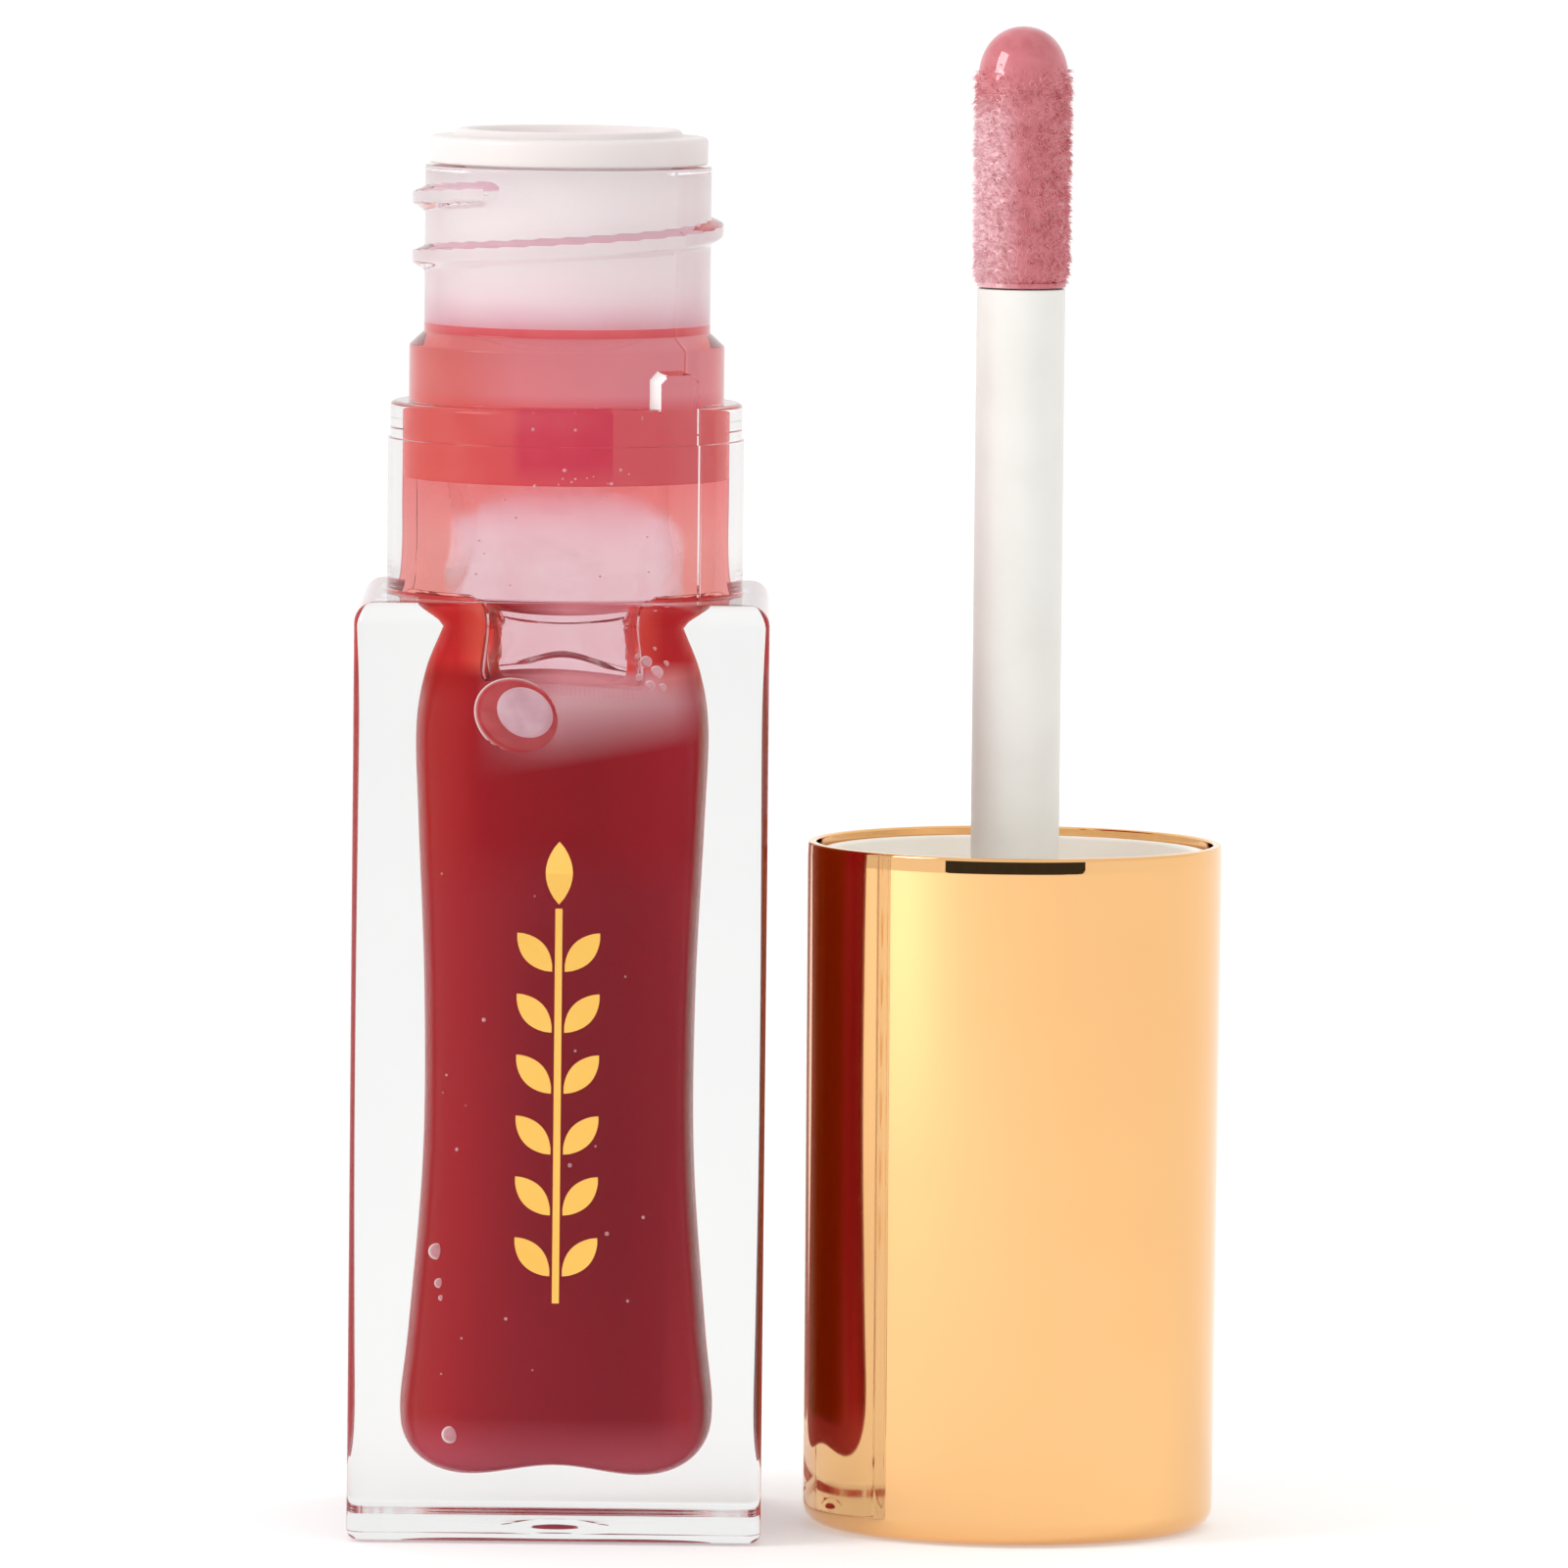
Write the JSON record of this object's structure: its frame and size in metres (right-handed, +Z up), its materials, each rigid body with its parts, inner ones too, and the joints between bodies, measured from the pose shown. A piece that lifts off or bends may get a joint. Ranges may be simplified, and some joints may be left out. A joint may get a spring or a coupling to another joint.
{
  "type": "lip gloss tube",
  "caption": "Square clear lip gloss bottle, open, with its threaded neck and wiper, and its gold screw cap with wand and flocked tip standing upside down beside it.",
  "frame": {"origin": "centre of the bottle's flat base", "axes": "+Z up along the bottle's axis, +X from the bottle towards the applicator standing beside it, -Y is the front"},
  "size_m": [0.0417, 0.02, 0.0723],
  "materials": {
    "clear_bottle": "polished crystal-clear plastic",
    "milky_wiper": "milky soft plastic",
    "red_gloss": "wet translucent crimson liquid",
    "gold_shell": "mirror-polished rose gold",
    "cream_liner": "satin cream moulded plastic",
    "white_stem": "satin off-white moulded plastic",
    "pink_flock": "short flocked fibres wetted with gloss",
    "pin_steel": "plain drawn wire"
  },
  "bodies": {
    "bottle": {"bottle": "clear_bottle", "wiper": "milky_wiper", "gloss": "red_gloss"},
    "carrier": {"tip_pin": "pin_steel"},
    "wand": {"stem": "white_stem", "tip_core": "cream_liner", "tip_flock": "pink_flock"},
    "cap": {"overcap": "gold_shell", "inner_cap": "cream_liner"}
  },
  "joints": [
    {"name": "turnover", "type": "hinge", "parent": "bottle", "child": "carrier", "pos_m": [0.0109, 0, 0.0711], "axis": [0, -1, 0], "range_deg": [0, 180]},
    {"name": "insert", "type": "slide", "parent": "carrier", "child": "wand", "axis": [0, 0, 1], "range_m": [0, 0.064], "deforming": ["gloss"]},
    {"name": "twist", "type": "hinge", "parent": "wand", "child": "cap", "pos_m": [0.0218, 0, 0.0165], "axis": [0, 0, -1], "range_deg": [0, 360]}
  ]
}
